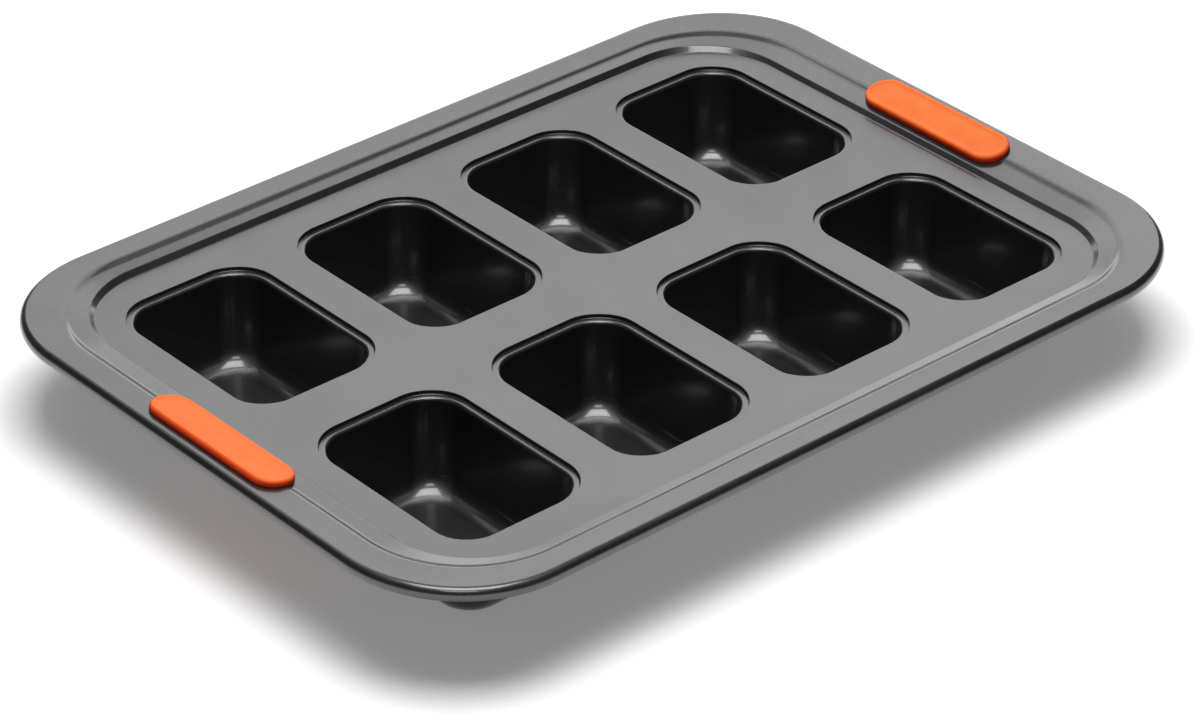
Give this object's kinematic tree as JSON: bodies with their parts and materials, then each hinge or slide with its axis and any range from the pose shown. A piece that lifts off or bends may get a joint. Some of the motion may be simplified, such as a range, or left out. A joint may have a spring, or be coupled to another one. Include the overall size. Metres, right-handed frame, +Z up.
{
  "type": "mini cake pan",
  "caption": "Coated steel baking pan with deep rounded oblong cups in a stepped deck, a wire-stiffened rolled rim and a soft grip in the handle at each end.",
  "frame": {"origin": "middle of the footprint, on the plane that the cup floors stand on", "axes": "+X along the pan from the left grip to the right grip, +Y across it, +Z up out of the cups"},
  "size_m": [0.4, 0.2912, 0.0491],
  "materials": {
    "coating": "dark grey non-stick coating, semi-gloss",
    "wire": "drawn steel wire",
    "grip": "orange silicone, satin"
  },
  "bodies": {
    "root": {"pan_sheet": "coating", "rim_wire": "wire", "grip_left": "grip", "grip_right": "grip"}
  },
  "joints": []
}
